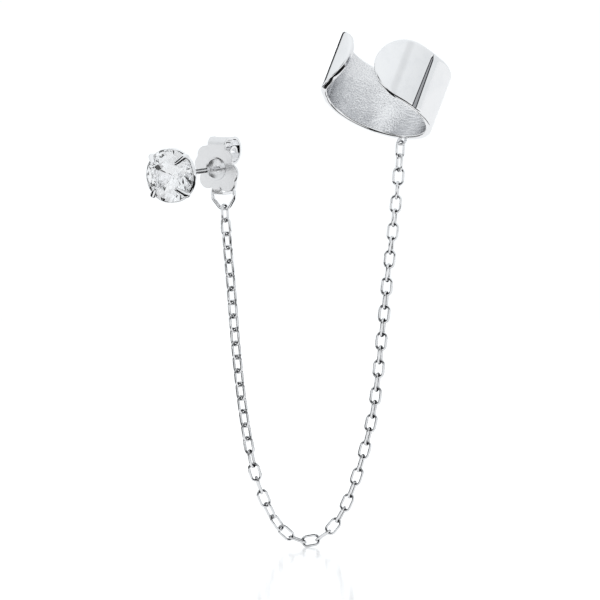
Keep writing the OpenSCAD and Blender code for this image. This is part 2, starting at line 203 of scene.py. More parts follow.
class Bender:
    """Carries a section along straight runs and bends that lie in one plane, as wire and strip are bent."""

    def __init__(self, bm, section, place, way, hinge):
        self.bm = bm
        self.section = section
        self.place = Vector(place)
        self.way = Vector(way).normalized()
        self.hinge = Vector(hinge)

    def run(self, length, scale=1.0):
        grown = bmesh.ops.extrude_face_region(self.bm, geom=self.section)["geom"]
        step = self.way * length
        self.place = self.place + step
        bmesh.ops.translate(self.bm, vec=step, verts=verts_of(grown))
        if scale != 1.0:
            bmesh.ops.scale(self.bm, vec=(scale,) * 3, space=moved(*-self.place), verts=verts_of(grown))
        self.section = grown

    def turn(self, radius, angle, steps):
        centre = self.place + self.hinge.cross(self.way) * radius
        self.section = bmesh.ops.spin(
            self.bm, geom=self.section, cent=centre, axis=self.hinge, angle=angle, steps=steps
        )["geom_last"]
        bend = Matrix.Rotation(angle, 3, self.hinge)
        self.place = centre + bend @ (self.place - centre)
        self.way = bend @ self.way


def wire_section(bm, radius, place, way, sides=14, solid=False):
    """A round section square to the wire's way: its edges, or its face too where the wire has a free end."""
    made = bmesh.ops.create_circle(
        bm, cap_ends=solid, segments=sides, radius=radius, matrix=moved(*place) @ aimed(way)
    )["verts"]
    edges = list({e for v in made for e in v.link_edges})
    faces = list({f for v in made for f in v.link_faces})
    return made + edges + faces


def wire_ring(bm, radius, wire_r, matrix, steps=64, sides=16):
    """A closed round ring of wire, put in place by the matrix."""
    before = set(bm.verts)
    section = wire_section(bm, wire_r, (radius, 0, 0), (0, 1, 0), sides)
    bmesh.ops.spin(bm, geom=section, cent=(0, 0, 0), axis=(0, 0, 1), angle=TURN, steps=steps, use_merge=True)
    bmesh.ops.transform(bm, matrix=matrix, verts=[v for v in bm.verts if v not in before])


def round_off(bender, radius, steps=5):
    """Closes a wire's end with a dome of its own radius. The last step stops short of the pole."""
    done = 0.0
    width = 1.0
    for k in range(1, steps + 1):
        angle = QUARTER_TURN * k / (steps + POLE_LEFT)
        reach = radius * math.sin(angle)
        bender.run(reach - done, math.cos(angle) / width)
        done = reach
        width = math.cos(angle)


def finish_piece(bm, name, matrix, body, finishes, smooth_under=math.radians(40)):
    """Makes a piece of the mesh: in its place in metres, smooth but for its sharp edges, on its body."""
    bmesh.ops.remove_doubles(bm, verts=bm.verts, dist=MERGE)
    bmesh.ops.recalc_face_normals(bm, faces=bm.faces)
    bmesh.ops.transform(bm, matrix=IN_METRES @ matrix, verts=bm.verts)
    for f in bm.faces:
        f.smooth = True
    for e in bm.edges:
        e.smooth = len(e.link_faces) == 2 and e.calc_face_angle(0) < smooth_under
    mesh = bpy.data.meshes.new(name)
    bm.to_mesh(mesh)
    bm.free()
    piece = bpy.data.objects.new(name, mesh)
    bpy.context.scene.collection.objects.link(piece)
    for finish in finishes:
        mesh.materials.append(finish)
    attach(piece, body)
    return piece


# Materials

# Silver's other tones: painted shade in a link's inner bends, in a crease and on its edges, and towards the
# ends of the cuff's inside, and the light and dark tones of the cuff's hammered inside
LINK_BEND_SHADE = (0.05, 0.052, 0.06)
CREASE_SHADE = (0.12, 0.125, 0.14)
CREASE_EDGE_SHADE = (0.02, 0.02, 0.025)
SATIN_END_SHADE = (0.5, 0.51, 0.54)
HAMMERED_LOW = (0.8, 0.805, 0.82)
HAMMERED_HIGH = (0.97, 0.97, 0.97)


class Wire:
    """A node's output. Arithmetic on it adds the Math nodes that work it out."""

    def __init__(self, shade, socket):
        self.shade = shade
        self.socket = socket

    def math(self, operation, *values):
        return self.shade.node("ShaderNodeMath", {"operation": operation}, dict(enumerate(values)))

    def __add__(self, other):
        return self.math("ADD", self, other)

    def __sub__(self, other):
        return self.math("SUBTRACT", self, other)

    def __rsub__(self, other):
        return self.math("SUBTRACT", other, self)

    def __mul__(self, other):
        return self.math("MULTIPLY", self, other)

    def size(self):
        """The value without its sign."""
        return self.math("ABSOLUTE", self)

    def above(self, low, high):
        """0 under the low value, 1 over the high one, and smooth between them."""
        return self.shade.node(
            "ShaderNodeMapRange",
            {"interpolation_type": "SMOOTHSTEP"},
            {"Value": self, "From Min": low, "From Max": high},
        )

    __radd__ = __add__
    __rmul__ = __mul__


def colour(value):
    return value if isinstance(value, Wire) else (*value, 1)


class Shade:
    """A node tree. One method adds any node, and the others are short ways to say it."""

    def __init__(self, tree):
        self.tree = tree

    def node(self, kind, settings, sockets, output=0):
        made = self.tree.nodes.new(kind)
        for name, value in settings.items():
            setattr(made, name, value)
        for name, value in sockets.items():
            if isinstance(value, Wire):
                self.tree.links.new(value.socket, made.inputs[name])
            else:
                made.inputs[name].default_value = value
        return Wire(self, made.outputs[output])

    def noise(self, place, scale, detail=4.0, roughness=0.55):
        sockets = {"Vector": place, "Scale": scale, "Detail": detail, "Roughness": roughness}
        return self.node("ShaderNodeTexNoise", {}, sockets)

    def place(self, scale=(1, 1, 1), source="Object", turn=(0, 0, 0)):
        """Where a point lies on the piece, in millimetres times the scale."""
        where = self.node("ShaderNodeTexCoord", {}, {}, source)
        size = [s / MM if source == "Object" else s for s in scale]
        sockets = {"Vector": where, "Scale": size, "Rotation": turn}
        return self.node("ShaderNodeMapping", {"vector_type": "POINT"}, sockets)

    def parts(self, vector, names):
        """The named parts of a vector, each as a wire of its own."""
        return [self.node("ShaderNodeSeparateXYZ", {}, {"Vector": vector}, name) for name in names]

    def mixed(self, share, first, second):
        """A colour between two, by the second one's share."""
        return self.node(
            "ShaderNodeMix",
            {"data_type": "RGBA"},
            {"Factor": share, 6: colour(first), 7: colour(second)},
            "Result",
        )


class Finish(Shade):
    """A material's nodes, on one Principled shader."""

    def __init__(self, name, **constants):
        self.material = bpy.data.materials.new(name)
        self.material.use_nodes = True
        super().__init__(self.material.node_tree)
        self.shader = self.tree.nodes["Principled BSDF"]
        for socket, value in constants.items():
            self.shader.inputs[socket.replace("_", " ")].default_value = value

    def feed(self, socket, wire):
        self.tree.links.new(wire.socket, self.shader.inputs[socket])

    def bump(self, height, strength, distance):
        sockets = {"Height": height, "Strength": strength, "Distance": distance * MM}
        self.feed("Normal", self.node("ShaderNodeBump", {}, sockets))


def polished_silver(name, wear=1.0, haze=0.045, white=0.95, creased=False, linked=False):
    """Bright silver with hair scratches, soft smudges and a faint unevenness from the buffing wheel.

    A creased finish also has the cuff's two creases, with painted shade in them and on their edges, and a
    linked one has painted shade in the links' inner bends, where neighbouring links meet.
    """
    silver = Finish(name, Metallic=1.0)
    here = silver.place()
    smudge = silver.noise(here, 0.7, 3.0).above(0.42, 0.68) * wear
    scratch = silver.noise(silver.place((1, 9, 9), turn=(0.4, 0.2, 0.5)), 2.2, 5.0).above(0.55, 0.8) * wear
    wave = silver.noise(here, 0.16, 1.0)
    rough = haze + smudge * 0.05 + scratch * 0.05
    clean = Vector((1.0, 1.0, 1.005)) * white
    smeared = Vector((0.9, 0.91, 0.925)) * white
    bright = silver.mixed(smudge * 0.35, clean, smeared)
    relief = wave * 0.8 + scratch * 0.02
    if creased:
        inside, edge, tooth = crease_shade_and_file_marks(silver)
        # Painted shade: the crease strip is darkened, mottled by the file's teeth, and its edges are darkened
        # almost to black
        bright = silver.mixed(inside * (0.55 + tooth * 0.25), bright, CREASE_SHADE)
        bright = silver.mixed(edge, bright, CREASE_EDGE_SHADE)
        rough = rough + inside * 0.25
        relief = relief + inside * tooth * 0.3
    if linked:
        # Painted shade: the links' inner bends, where neighbouring links meet, are darkened almost to black
        end, out = silver.parts(silver.place(source="UV"), "XY")
        bright = silver.mixed(end.above(0.45, 0.68) * (0 - out).above(-0.3, 0.2), bright, LINK_BEND_SHADE)
    silver.feed("Base Color", bright)
    silver.feed("Roughness", rough)
    silver.bump(relief, 0.35, 0.12)
    return silver.material


def crease_shade_and_file_marks(silver):
    """The crease where a lip was bent out: a tapered strip of painted shade, darker painted shade on its
    edges, and the file's teeth in it.
    """
    along, across = silver.parts(silver.place(source="UV"), "XY")
    off = (along.size() - (cuff_path()[0][0] + CREASE_SHIFT)).size()
    down = (CUFF_WIDE / 2 - across) * (1 / CUFF_WIDE)
    half = 0.02 + down.above(0.03, 0.12) * 0.2 + down * 0.18
    gap = half - off
    inside = gap.above(0.0, 0.03) * (1 - down.above(0.985, 0.99))
    edge = inside * (1 - gap.above(0.13, 0.2))
    tooth = silver.noise(silver.place((0.4, 5, 1), "UV"), 3.0, 2.0)
    return inside, edge, tooth


def satin_silver():
    """The cuff's inside: pebbled where it was hammered on the mandrel, with drawn streaks to one side, and
    painted shade towards each end.
    """
    satin = Finish("satin_silver", Metallic=1.0)
    along = satin.place(source="UV")
    share = satin.parts(along, "X")[0]
    pebble = satin.noise(along, 5.0, 3.0, 0.5)
    streak = satin.noise(satin.place((0.45, 3.2, 1), "UV"), 1.5, 5.0, 0.6)
    drawn = (share + satin.noise(along, 0.5, 2.0) * 2).above(0.0, 2.0)
    struck = 0.35 + satin.noise(along, 0.35, 2.0).above(0.42, 0.58) * 0.65
    relief = pebble * struck * (1 - drawn) + streak * drawn
    # Painted shade: the inside darkens towards each end of the band, less on its brighter pebbles and streaks
    end_shade = share.above(3.0, 6.5) + (0 - share).above(6.5, 12.0)
    tone = (pebble * (1 - drawn) + streak * drawn).above(0.36, 0.6)
    fresh = satin.mixed(tone, HAMMERED_LOW, HAMMERED_HIGH)
    satin.feed("Base Color", satin.mixed(end_shade * (1 - tone * 0.5) * 0.75, fresh, SATIN_END_SHADE))
    satin.feed("Roughness", 0.14 + pebble * 0.16)
    satin.bump(relief, 0.65, 0.1)
    return satin.material


def clear_stone():
    """A hard clear stone: polished facets and a ground girdle."""
    clear = Finish("clear_stone", Transmission_Weight=1.0, IOR=1.95)
    back = STONE_FRAME.inverted().to_euler()
    origin = STONE_FRAME.inverted().translation
    where = clear.node("ShaderNodeTexCoord", {}, {}, "Object")
    inside = clear.node(
        "ShaderNodeMapping",
        {"vector_type": "POINT"},
        {"Vector": where, "Scale": (1 / MM,) * 3, "Rotation": back, "Location": origin},
    )
    high = clear.parts(inside, "Z")[0]
    girdle = high.above(-GIRDLE, -GIRDLE / 2) - high.above(GIRDLE / 2, GIRDLE)
    haze = clear.noise(clear.place(), 1.3, 2.0)
    clear.feed("Base Color", clear.mixed(haze, (0.985, 0.99, 1.0), (1.0, 1.0, 1.0)))
    clear.feed("Roughness", girdle * 0.35)
    return clear.material


# The stone

def facet_points():
    """The corners that the facets' planes pass through, for one eighth of the stone."""
    step = TURN / MAIN_FACETS
    table_flat = TABLE_R * math.cos(step / 2)
    star_r = table_flat + STAR_SHARE * (STONE_R - table_flat)
    star_z = CROWN_TOP - (star_r * math.cos(step / 2) - TABLE_R) * CROWN / (STONE_R - TABLE_R)
    lower_r = (1 - LOWER_SHARE) * STONE_R
    lower_z = -STONE_POINT + lower_r * math.cos(step / 2) * PAVILION / STONE_R
    top, under = GIRDLE / 2, -GIRDLE / 2

    def at(radius, share, height):
        return Vector((*polar(radius, share * step), height))

    table, next_table = at(TABLE_R, 0, CROWN_TOP), at(TABLE_R, 1, CROWN_TOP)
    star, last_star = at(star_r, 0.5, star_z), at(star_r, -0.5, star_z)
    main, half, far_main = at(STONE_R, 0, top), at(STONE_R, 0.5, top), at(STONE_R, 1, top)
    lower, low_half, low_far = at(STONE_R, 0, under), at(STONE_R, 0.5, under), at(STONE_R, 1, under)
    belly, last_belly = at(lower_r, 0.5, lower_z), at(lower_r, -0.5, lower_z)
    return [
        (table, next_table, star),
        (last_star, star, main),
        (star, main, half),
        (star, half, far_main),
        (last_belly, belly, lower),
        (belly, lower, low_half),
        (belly, low_half, low_far),
    ]


def make_stone(finish):
    """A rough cylinder, ground flat on one facet after another."""
    bm = bmesh.new()
    rough = CROWN_TOP + STONE_POINT
    bmesh.ops.create_cone(
        bm,
        cap_ends=True,
        segments=96,
        radius1=STONE_R,
        radius2=STONE_R,
        depth=rough,
        matrix=moved(0, 0, CROWN_TOP - rough / 2),
    )
    for corners in facet_points():
        for k in range(MAIN_FACETS):
            turn = Matrix.Rotation(TURN * k / MAIN_FACETS, 3, "Z")
            a, b, c = (turn @ corner for corner in corners)
            normal = (b - a).cross(c - a).normalized()
            if normal.dot(a) < 0:
                normal.negate()
            bmesh.ops.bisect_plane(
                bm, geom=all_of(bm), dist=CUT_NEAR, plane_co=a, plane_no=normal, clear_outer=True
            )
            bmesh.ops.holes_fill(bm, edges=[e for e in bm.edges if e.is_boundary])
    bmesh.ops.dissolve_limit(bm, angle_limit=FACET_FLAT, verts=bm.verts, edges=bm.edges)
    stone = finish_piece(bm, "cut_stone", STONE_FRAME, "stud", [finish], FACET_EDGE)
    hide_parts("stone")


# The setting

def make_claw(bm, turn):
    """One claw: a leg from the base, a bend over the girdle and a tapered tip that lies on the crown."""
    before = set(bm.verts)
    foot = Vector((FOOT_R, BASE_THICK - GIRDLE_HIGH + FOOT_SUNK))
    knee = Vector((STONE_R + KNEE_OUT, GIRDLE / 2))
    tip = Vector((TABLE_R + TIP_BACK, CROWN_TOP))
    leg, claw = knee - foot, tip - knee
    bend = leg.angle(claw)
    taken = PRONG_BEND * math.tan(bend / 2)
    place = (foot.x, 0, foot.y)
    way = (leg.x, 0, leg.y)
    bender = Bender(bm, wire_section(bm, PRONG_R, place, way, 16, True), place, way, (0, -1, 0))
    bender.run(leg.length - taken)
    bender.turn(PRONG_BEND, bend, 12)
    bender.run(claw.length - taken, TIP_R / PRONG_R)
    round_off(bender, TIP_R)
    made = [v for v in bm.verts if v not in before]
    bmesh.ops.rotate(bm, cent=(0, 0, 0), matrix=Matrix.Rotation(turn, 3, "Z"), verts=made)


def make_post(bm):
    """The round base plate, the post's solder fillet and the post with its domed tip, turned as one."""
    back = -GIRDLE_HIGH
    front = back + BASE_THICK
    arc = [QUARTER_TURN * k / 6 for k in range(7)]
    fillet = [polar(SOLDER_R, HALF_TURN - angle) for angle in arc]
    dome = [polar(POST_R, -angle) for angle in arc]
    outline = [(0, front), (BASE_R - BASE_EDGE, front), (BASE_R, front - BASE_EDGE)]
    outline += [(BASE_R, back + BASE_EDGE), (BASE_R - BASE_EDGE, back)]
    outline += [(POST_R + SOLDER_R + p.x, back - SOLDER_R + p.y) for p in reversed(fillet)]
    outline += [(p.x, back - POST_LONG + POST_R + p.y) for p in dome]
    verts = [bm.verts.new((x, 0, z)) for x, z in outline]
    edges = [bm.edges.new(pair) for pair in zip(verts, verts[1:])]
    bmesh.ops.spin(
        bm, geom=verts + edges, cent=(0, 0, 0), axis=(0, 0, 1), angle=TURN, steps=48, use_merge=True
    )


def make_setting(claws, post):
    """The claws, rails and base in one finish, and the post in another."""
    bm = bmesh.new()
    for k in range(PRONGS):
        make_claw(bm, TURN / PRONGS * (k + 0.5))
    slant = math.hypot(STONE_R, PAVILION) / PAVILION
    upper = STONE_R * (1 - (UPPER_RAIL - GIRDLE / 2) / PAVILION) + (RAIL_R + 2 * SEAT_GAP) * slant
    leg_rise = (STONE_R + KNEE_OUT - FOOT_R) / (GIRDLE / 2 + GIRDLE_HIGH - BASE_THICK)
    lower = FOOT_R + (GIRDLE_HIGH - BASE_THICK - LOWER_RAIL) * leg_rise
    wire_ring(bm, upper, RAIL_R, moved(0, 0, -UPPER_RAIL))
    wire_ring(bm, lower, RAIL_R, moved(0, 0, -LOWER_RAIL))
    make_post(bm)
    behind = -GIRDLE_HIGH - FINISH_LAP
    for f in bm.faces:
        f.material_index = 0 if f.calc_center_median().z > behind else 1
    setting = finish_piece(bm, "claws_and_post", STONE_FRAME, "stud", [claws, post])
    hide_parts("claw_setting")


# The butterfly nut

def lobes():
    """The plate's round lobes as (place, radius): the second half is the first, turned round."""
    x = CORNER_WIDE / 2 - CORNER_LOBE_R
    y = CORNER_HIGH / 2 - CORNER_LOBE_R
    half = [
        (Vector((-x, y)), CORNER_LOBE_R),
        (Vector((x - CORNER_LESS, y - CORNER_LESS)), CORNER_LOBE_R),
        (Vector((SIDE_LOBE_R - PLATE_WIDE / 2, LOBE_SHIFT)), SIDE_LOBE_R),
    ]
    return half + [(-place, radius) for place, radius in half]


def plate_reach(angle):
    """How far the plate reaches from the post at an angle: the furthest lobe or neck edge on that line."""
    way = polar(1, angle)
    reach = 0.0
    for place, radius in lobes():
        along = place.dot(way)
        aside = place.length_squared - along * along
        if aside < radius * radius:
            reach = max(reach, along + math.sqrt(radius * radius - aside))
    for side, high in ((1, UPPER_HIGH), (-1, LOWER_HIGH)):
        fold = high - NUT_THICK / 2 - FOLD_R
        if way.y * side > 0 and abs(way.x / way.y) * fold <= NECK_WIDE / 2 + 1e-6:
            reach = max(reach, fold / abs(way.y))
    return reach


def neck_corners():
    """The angles of the corners where the two necks leave the plate."""
    angles = []
    for up, high in ((1, UPPER_HIGH), (-1, LOWER_HIGH)):
        fold = high - NUT_THICK / 2 - FOLD_R
        angles += [math.atan2(up * fold, side * NECK_WIDE / 2) for side in (-1, 1)]
    return angles


def plate_angles(count):
    """Even angles round the plate, with the ones nearest to the neck's corners moved onto them."""
    angles = [TURN * k / count - HALF_TURN for k in range(count)]
    for corner in neck_corners():
        nearest = min(range(count), key=lambda k: abs(angles[k] - corner))
        angles[nearest] = corner
    return angles


def make_plate(bm, count=120):
    """The plate as a sheet of rings: the dished hole, the dish's rim and the scalloped outline."""
    angles = plate_angles(count)
    dish_steps = 8
    rings = []
    for k in range(dish_steps + 1):
        share = k / dish_steps
        radius = HOLE_R + (DISH_R - DISH_WALL - HOLE_R) * share
        rings.append((radius, -DISH_DEEP + (DISH_DEEP - DISH_WALL) * share * share))
    rings.append((DISH_R, 0.0))
    ring = bmesh.ops.create_circle(bm, segments=count, radius=1)["verts"]
    edges = bm.edges[:]
    for v, angle in zip(ring, angles):
        v.co = (*polar(rings[0][0], angle), rings[0][1])
    outline = [plate_reach(angle) for angle in angles]
    for radius, height in rings[1:]:
        edges, ring = next_ring(bm, edges, ring, [radius] * count, angles, height)
    for share in (0.25, 0.5, 0.75, 0.94, 1.0):
        reaches = [DISH_R + (reach - DISH_R) * share for reach in outline]
        edges, ring = next_ring(bm, edges, ring, reaches, angles, 0.0)
    grown = bmesh.ops.extrude_face_region(bm, geom=bm.faces[:])["geom"]
    bmesh.ops.translate(bm, vec=(0, 0, -NUT_THICK), verts=verts_of(grown))


def next_ring(bm, edges, ring, reaches, angles, height):
    """Grows a sheet's round edge outwards to given reaches, and returns its new edge and vertices."""
    grown = bmesh.ops.extrude_edge_only(bm, edges=edges)["geom"]
    new = set(verts_of(grown))
    follow = []
    for v, reach, angle in zip(ring, reaches, angles):
        partner = next(e.other_vert(v) for e in v.link_edges if e.other_vert(v) in new)
        partner.co = (*polar(reach, angle), height)
        follow.append(partner)
    return [g for g in grown if isinstance(g, bmesh.types.BMEdge)], follow


def roll_scroll(bm, high, up):
    """Folds the neck back and rolls it into a scroll, from the faces on the plate's edge."""
    fold = high - NUT_THICK / 2 - FOLD_R
    ends = [
        f
        for f in bm.faces
        if f.normal.y * up > 0.9
        and abs(f.calc_center_median().y - up * fold) < 1e-3
        and abs(f.calc_center_median().x) < NECK_WIDE / 2
    ]
    section = list({v for f in ends for v in f.verts})
    section += list({e for f in ends for e in f.edges}) + ends
    low = HOLE_R + NUT_THICK / 2
    outer = (high - NUT_THICK / 2 - low) / 2
    inner = outer - (NUT_THICK + SCROLL_SPACE) / 2
    end = inner - NUT_THICK
    back = NUT_DEEP - NUT_THICK / 2 - outer
    strip = Bender(bm, section, (0, up * fold, -NUT_THICK / 2), (0, up, 0), (-up, 0, 0))
    strip.turn(FOLD_R, QUARTER_TURN, 10)
    strip.run(back - NUT_THICK / 2 - FOLD_R)
    strip.turn(outer, HALF_TURN, 20)
    strip.turn(inner, HALF_TURN, 16)
    strip.turn(end, SCROLL_END, 8)


def soften_edges(bm, width, segments=2, over=math.radians(50)):
    """Rounds every sharp edge by a given width, as tumbling does."""
    sharp = [e for e in bm.edges if len(e.link_faces) == 2 and e.calc_face_angle(0) > over]
    bmesh.ops.bevel(
        bm,
        geom=sharp,
        offset=width,
        offset_type="OFFSET",
        affect="EDGES",
        segments=segments,
        profile=0.5,
        material=-1,
        clamp_overlap=True,
    )


def make_nut(plate, scrolls):
    """The scalloped plate, in one finish, with its two necks folded back and rolled up, in another."""
    bm = bmesh.new()
    make_plate(bm)
    bmesh.ops.recalc_face_normals(bm, faces=bm.faces)
    roll_scroll(bm, UPPER_HIGH, 1)
    roll_scroll(bm, LOWER_HIGH, -1)
    bmesh.ops.recalc_face_normals(bm, faces=bm.faces)
    soften_edges(bm, NUT_EDGE)
    behind = -NUT_THICK - DISH_DEEP - FINISH_LAP
    for f in bm.faces:
        f.material_index = 0 if f.calc_center_median().z > behind else 1
    nut = finish_piece(bm, "scroll_nut", NUT_FRAME, "nut_chain_cuff", [plate, scrolls])
    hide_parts("butterfly_nut")


# The ring

def make_ring(finish):
    """A wire bent round five corners and soldered shut, with its bar in the nut's lower scroll."""
    half = RING_WIDE / 2
    corners = [
        Vector((-half, 0)),
        Vector((half, 0)),
        Vector((half, -RING_SIDE)),
        Vector((RING_LEAN, -RING_HIGH)),
        Vector((-half, -RING_SIDE)),
    ]
    count = len(corners)
    sides = [corners[(k + 1) % count] - corners[k] for k in range(count)]
    bends = [sides[k - 1].angle(sides[k]) for k in range(count)]
    taken = [radius * math.tan(bend / 2) for radius, bend in zip(RING_RADII, bends)]
    start = corners[0] + sides[0].normalized() * taken[0]
    place = (start.x, start.y, 0)
    bm = bmesh.new()
    wire = Bender(bm, wire_section(bm, RING_WIRE_R, place, (1, 0, 0), 16), place, (1, 0, 0), (0, 0, -1))
    for k in range(count):
        follow = (k + 1) % count
        wire.run(sides[k].length - taken[k] - taken[follow])
        wire.turn(RING_RADII[follow], bends[follow], 12)
    low = LOWER_HIGH - NUT_THICK - RING_WIRE_R - BAR_REST - NECK_WIDE / 2 * math.sin(NUT_ROLL)
    bar = STUD @ Vector((-low * math.sin(NUT_ROLL), -low * math.cos(NUT_ROLL), -LOBE_GAP / 2 - BAR_BACK))
    upright = moved(*bar) @ turned(-STUD_TURN, "Z") @ turned(QUARTER_TURN, "X")
    ring = finish_piece(bm, "hanger_ring", upright, "nut_chain_cuff", [finish])
    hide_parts("nut_ring")


# The chain

def link_frames():
    """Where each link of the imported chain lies: its middle, with its long, wide and thin ways."""
    bm = bmesh.new()
    bm.from_mesh(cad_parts["chain"].data)
    bmesh.ops.remove_doubles(bm, verts=bm.verts, dist=MERGE * MM)
    waiting = set(bm.verts)
    frames = []
    while waiting:
        island = [waiting.pop()]
        for v in island:
            near = [e.other_vert(v) for e in v.link_edges if e.other_vert(v) in waiting]
            waiting.difference_update(near)
            island.extend(near)
        points = np.array([v.co for v in island]) / MM
        middle = points.mean(0)
        ways = np.linalg.svd(points - middle)[2]
        long, wide = Vector(ways[0]), Vector(ways[1])
        reach = float(np.abs((points - middle) @ ways[0]).max())
        turn = Matrix((long, wide, long.cross(wide))).transposed().to_4x4()
        frames.append((tuple(middle), turn, reach))
    bm.free()
    return sorted(frames, key=lambda f: f[0])


def bend_link(reach):
    """One closed oval link of round wire, mapped by how near its end and how far outside a place lies."""
    bm = bmesh.new()
    bow = LINK_WIDE / 2 - LINK_WIRE_R
    straight = reach - LINK_WIRE_R - bow
    place = (-straight, -bow, 0)
    wire = Bender(bm, wire_section(bm, LINK_WIRE_R, place, (1, 0, 0), 12), place, (1, 0, 0), (0, 0, 1))
    for _ in range(2):
        wire.run(straight)
        wire.run(straight)
        wire.turn(bow, HALF_TURN, 14)
    bmesh.ops.remove_doubles(bm, verts=bm.verts, dist=MERGE)
    bend_map = bm.loops.layers.uv.new("bend")
    for f in bm.faces:
        for loop in f.loops:
            long, wide = abs(loop.vert.co.x), abs(loop.vert.co.y)
            out = math.hypot(max(long - straight, 0), wide) - bow
            loop[bend_map].uv = (long / reach, out / LINK_WIRE_R)
    return bm


def make_chain(finish):
    """One bent link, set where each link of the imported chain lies."""
    frames = link_frames()
    link = bend_link(max(reach for _, _, reach in frames))
    pattern = bpy.data.meshes.new("link")
    link.to_mesh(pattern)
    link.free()
    bm = bmesh.new()
    for middle, turn, _ in frames:
        before = set(bm.verts)
        bm.from_mesh(pattern)
        made = [v for v in bm.verts if v not in before]
        bmesh.ops.transform(bm, matrix=moved(*middle) @ turn, verts=made)
    bpy.data.meshes.remove(pattern)
    chain = finish_piece(bm, "cable_chain", Matrix.Identity(4), "nut_chain_cuff", [finish])
    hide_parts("chain")


# The cuff

def cuff_path():
    """The outside of the band from the middle of its back to a lip's end, as (length, turn) arcs."""
    return [
        (CUFF_R * (HALF_TURN - CREASE_AT), -(HALF_TURN - CREASE_AT)),
        (CREASE_R * CREASE_IN, CREASE_IN),
        (KNUCKLE_R * (CREASE_IN - LIP_BEND), -(CREASE_IN - LIP_BEND)),
        (LIP_R * LIP_SWEEP, -LIP_SWEEP),
    ]


def along_cuff(distance):
    """The point on the band's outside at a distance from the back's middle, and the way outwards there."""
    place = Vector((-CUFF_R, 0))
    heading = QUARTER_TURN
    left = abs(distance)
    for length, turn in cuff_path():
        step = min(left, length)
        part = turn * step / length
        chord = 2 * (length / turn) * math.sin(part / 2)
        place = place + polar(chord, heading + part / 2)
        heading += part
        left -= step
        if left <= 0:
            break
    outwards = polar(1, heading + QUARTER_TURN)
    if distance < 0:
        place.y = -place.y
        outwards.y = -outwards.y
    return place, outwards


def make_cuff(outside, inside, eyelet):
    """A flat blank with oval ends and rounded edges, bent to the cuff's path, with its eyelet soldered on."""
    half_long = sum(length for length, _ in cuff_path())
    bm = bmesh.new()
    end_steps = 72
    blank = bmesh.ops.create_circle(
        bm, cap_ends=True, segments=end_steps, radius=1, matrix=turned(HALF_TURN / end_steps, "Z")
    )["verts"]
    for v in blank:
        reach = half_long - LIP_ROUND
        side = math.copysign(reach, v.co.x)
        v.co = (v.co.x * LIP_ROUND + side, v.co.y * CUFF_WIDE / 2, 0)
    grown = bmesh.ops.extrude_face_region(bm, geom=bm.faces[:])["geom"]
    bmesh.ops.translate(bm, vec=(0, 0, -CUFF_THICK), verts=verts_of(grown))
    bmesh.ops.recalc_face_normals(bm, faces=bm.faces)
    soften_edges(bm, CUFF_EDGE, 4)
    flats = [f for f in bm.faces if abs(f.normal.z) > FLAT_SIDE]
    bmesh.ops.inset_individual(bm, faces=flats, thickness=CUFF_EDGE)
    for f in bm.faces:
        f.material_index = 1 if f.normal.z < -FLAT_SIDE else 0
    slices = 150
    crease_slices = 7
    crease = cuff_path()[0][0]
    step = (cuff_path()[1][0] + cuff_path()[2][0]) / crease_slices
    cuts = [half_long * (2 * k / slices - 1) for k in range(1, slices)]
    cuts += [side * (crease + k * step) for side in (-1, 1) for k in range(-1, crease_slices + 2)]
    for cut in cuts:
        bmesh.ops.bisect_plane(bm, geom=all_of(bm), dist=CUT_NEAR, plane_co=(cut, 0, 0), plane_no=(1, 0, 0))
    strip_map = bm.loops.layers.uv.new("band")
    for f in bm.faces:
        for loop in f.loops:
            loop[strip_map].uv = loop.vert.co.xy
    for v in bm.verts:
        outer, outwards = along_cuff(v.co.x)
        flat = outer + outwards * v.co.z
        v.co = (flat.x, flat.y, v.co.y + CUFF_WIDE / 2)
    bmesh.ops.rotate(bm, cent=(0, 0, 0), matrix=Matrix.Rotation(GAP_TURN, 3, "Z"), verts=bm.verts)
    eye_place = polar(CUFF_R - CUFF_THICK / 2, EYE_AT)
    stand = moved(*eye_place, -EYE_DROP) @ turned(EYE_AT, "Z") @ turned(QUARTER_TURN, "Y")
    band = set(bm.faces)
    wire_ring(bm, EYE_R, EYE_WIRE_R, stand, 32, 14)
    for f in set(bm.faces) - band:
        f.material_index = 2
    finishes = [outside, inside, eyelet]
    cuff = finish_piece(bm, "open_cuff", CUFF_FRAME, "nut_chain_cuff", finishes)
    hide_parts("ear_cuff")


# The studio

# How bright the tent is for the camera, matt things, the stone and the metal, and what its backdrop adds
CAMERA_GLOW = 1.06
MATT_GLOW = 0.96
STONE_GLOW = 1.18
TENT_GLOW = 0.82
TENT_RISE = 0.13
BACKDROP_GLOW = 1.25
TENT_WHITE = (0.955, 0.98, 1)
FLOOR_GLOSS = 0.24
FLAG_SLANT = math.radians(42)


def photo_to_mm(pixel_x, pixel_y):
    """Where a pixel of the photograph lies across and up, in millimetres."""
    return (pixel_x - ORIGIN_PIXEL[0]) / PIXELS_PER_MM, (ORIGIN_PIXEL[1] - pixel_y) / PIXELS_PER_MM


def make_camera():
    """A long lens, level, square on, with the photograph's frame at the depth of the chain."""
    data = bpy.data.cameras.new("camera")
    data.lens = data.sensor_width * CAMERA_AWAY * PIXELS_PER_MM / PHOTO_SIDE
    data.clip_start = 0.05
    data.clip_end = 200
    camera = bpy.data.objects.new("camera", data)
    bpy.context.scene.collection.objects.link(camera)
    x, z = photo_to_mm(PHOTO_SIDE / 2, PHOTO_SIDE / 2)
    camera.location = (x * MM, -CAMERA_AWAY * MM, z * MM)
    camera.rotation_euler = (QUARTER_TURN, 0, 0)
    bpy.context.scene.camera = camera


